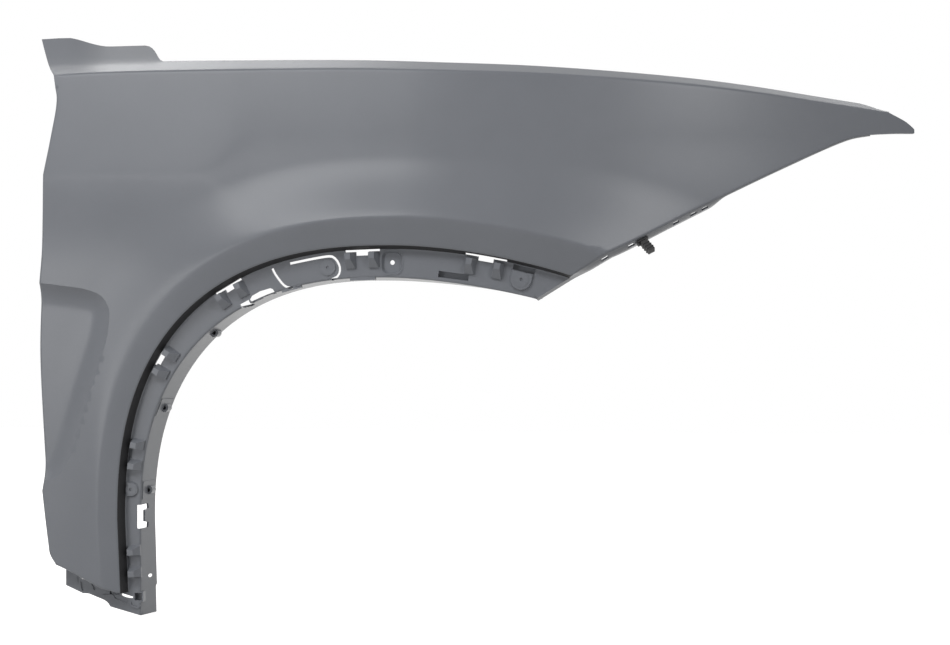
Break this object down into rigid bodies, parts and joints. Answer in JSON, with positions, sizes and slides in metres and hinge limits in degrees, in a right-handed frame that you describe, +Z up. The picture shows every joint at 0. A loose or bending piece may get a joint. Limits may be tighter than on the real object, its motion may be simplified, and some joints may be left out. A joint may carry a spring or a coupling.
{
  "type": "car front fender",
  "caption": "Right-hand front fender of a car: moulded skin around a wheel arch, bonnet rail with fixing pads, arch flange with clip slots, sill bracket and a black guide clip.",
  "frame": {"origin": "on the flat top of the middle pad of the bonnet rail, beside its bolt slot, where the fender is bolted to the body", "axes": "+X forwards along the car, +Y inwards to the middle of the car, +Z up"},
  "size_m": [1.3188, 0.2715, 0.8653],
  "materials": {
    "grey_primer": "satin grey primer",
    "black_plastic": "matt"
  },
  "bodies": {
    "root": {"fender_panel": "grey_primer", "bumper_guide_clip": "black_plastic"}
  },
  "joints": []
}
